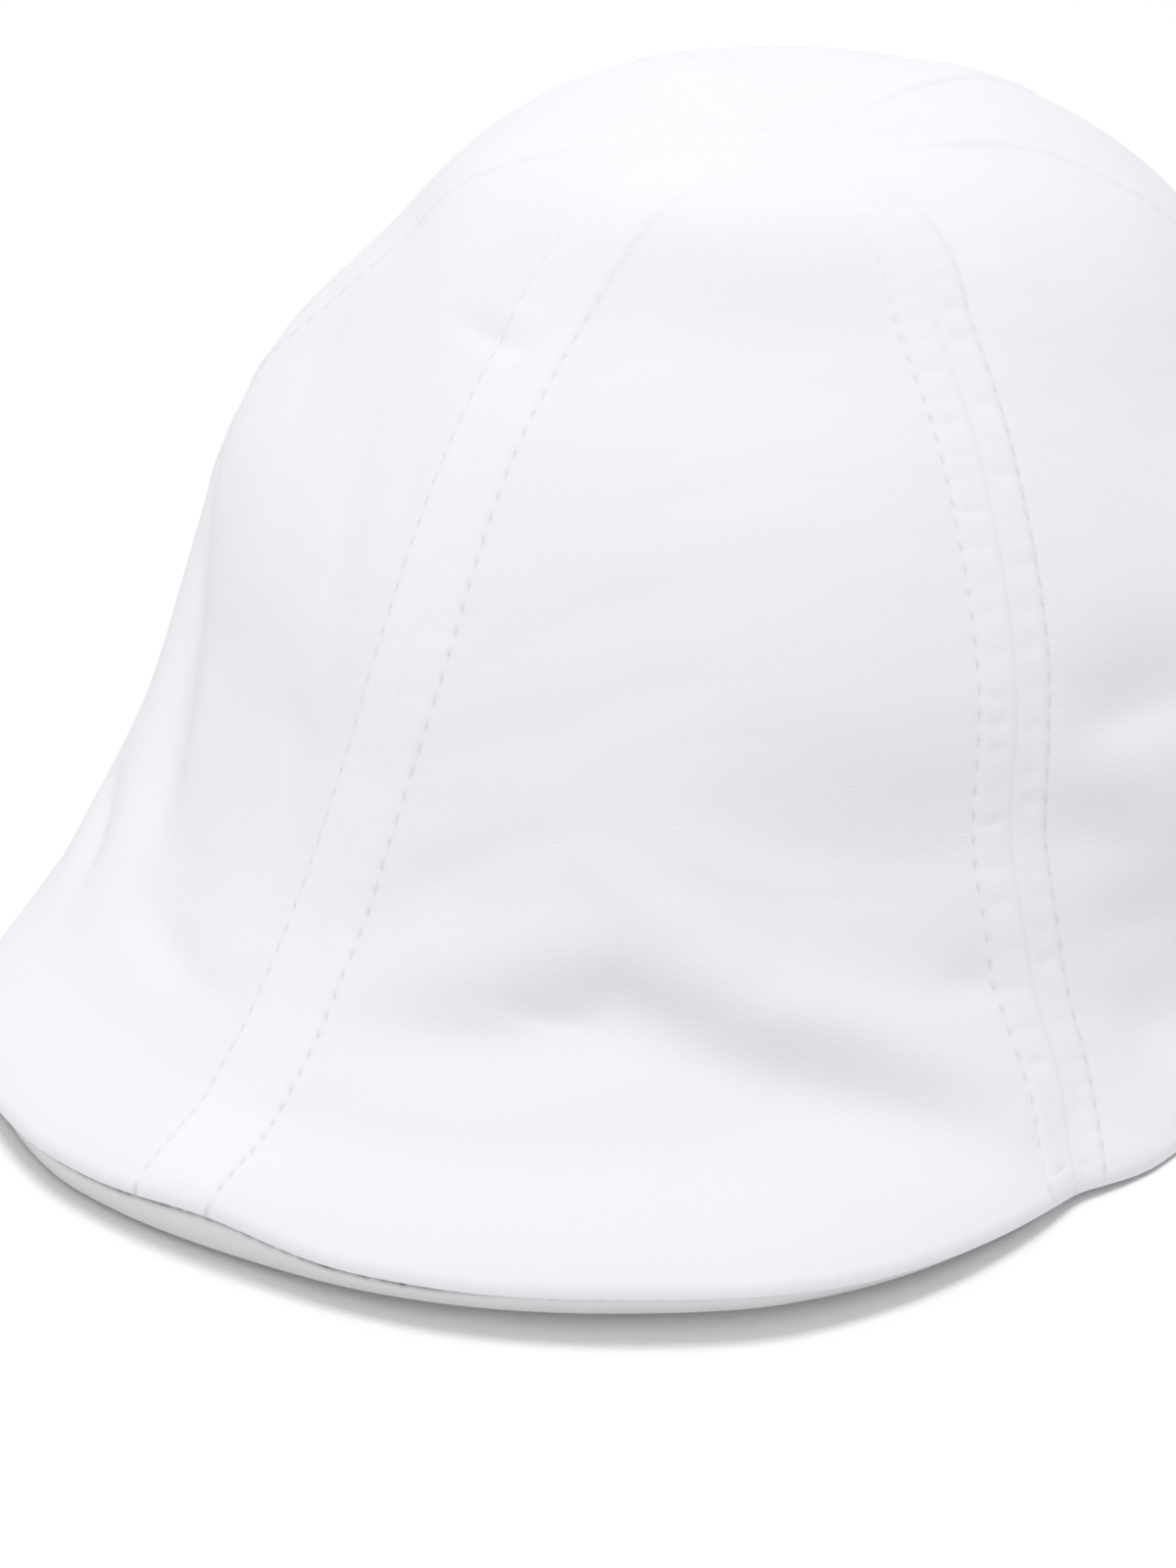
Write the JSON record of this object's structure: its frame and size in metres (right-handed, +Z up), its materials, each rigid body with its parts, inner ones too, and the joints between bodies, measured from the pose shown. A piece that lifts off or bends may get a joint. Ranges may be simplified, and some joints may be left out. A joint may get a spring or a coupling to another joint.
{
  "type": "duckbill flat cap",
  "caption": "Cotton duckbill flat cap with sewn crown panels that run down over a short covered peak, open underneath for the head.",
  "frame": {"origin": "middle of the cap's box in plan, on the surface that its hem and peak edge rest on", "axes": "-Y is the front of the cap, where the peak is; +X is the wearer's left; +Z is up, through the crown"},
  "size_m": [0.2094, 0.2862, 0.1149],
  "materials": {
    "panel_cloth": "matt white cotton poplin",
    "peak_cloth": "matt white cotton poplin over a stiff board",
    "band_cloth": "matt white cotton twill tape"
  },
  "bodies": {
    "root": {"front_panel": "panel_cloth", "right_front_panel": "panel_cloth", "left_front_panel": "panel_cloth", "right_rear_panel": "panel_cloth", "left_rear_panel": "panel_cloth", "rear_panel": "panel_cloth", "under_peak": "peak_cloth", "sweatband": "band_cloth"}
  },
  "joints": []
}
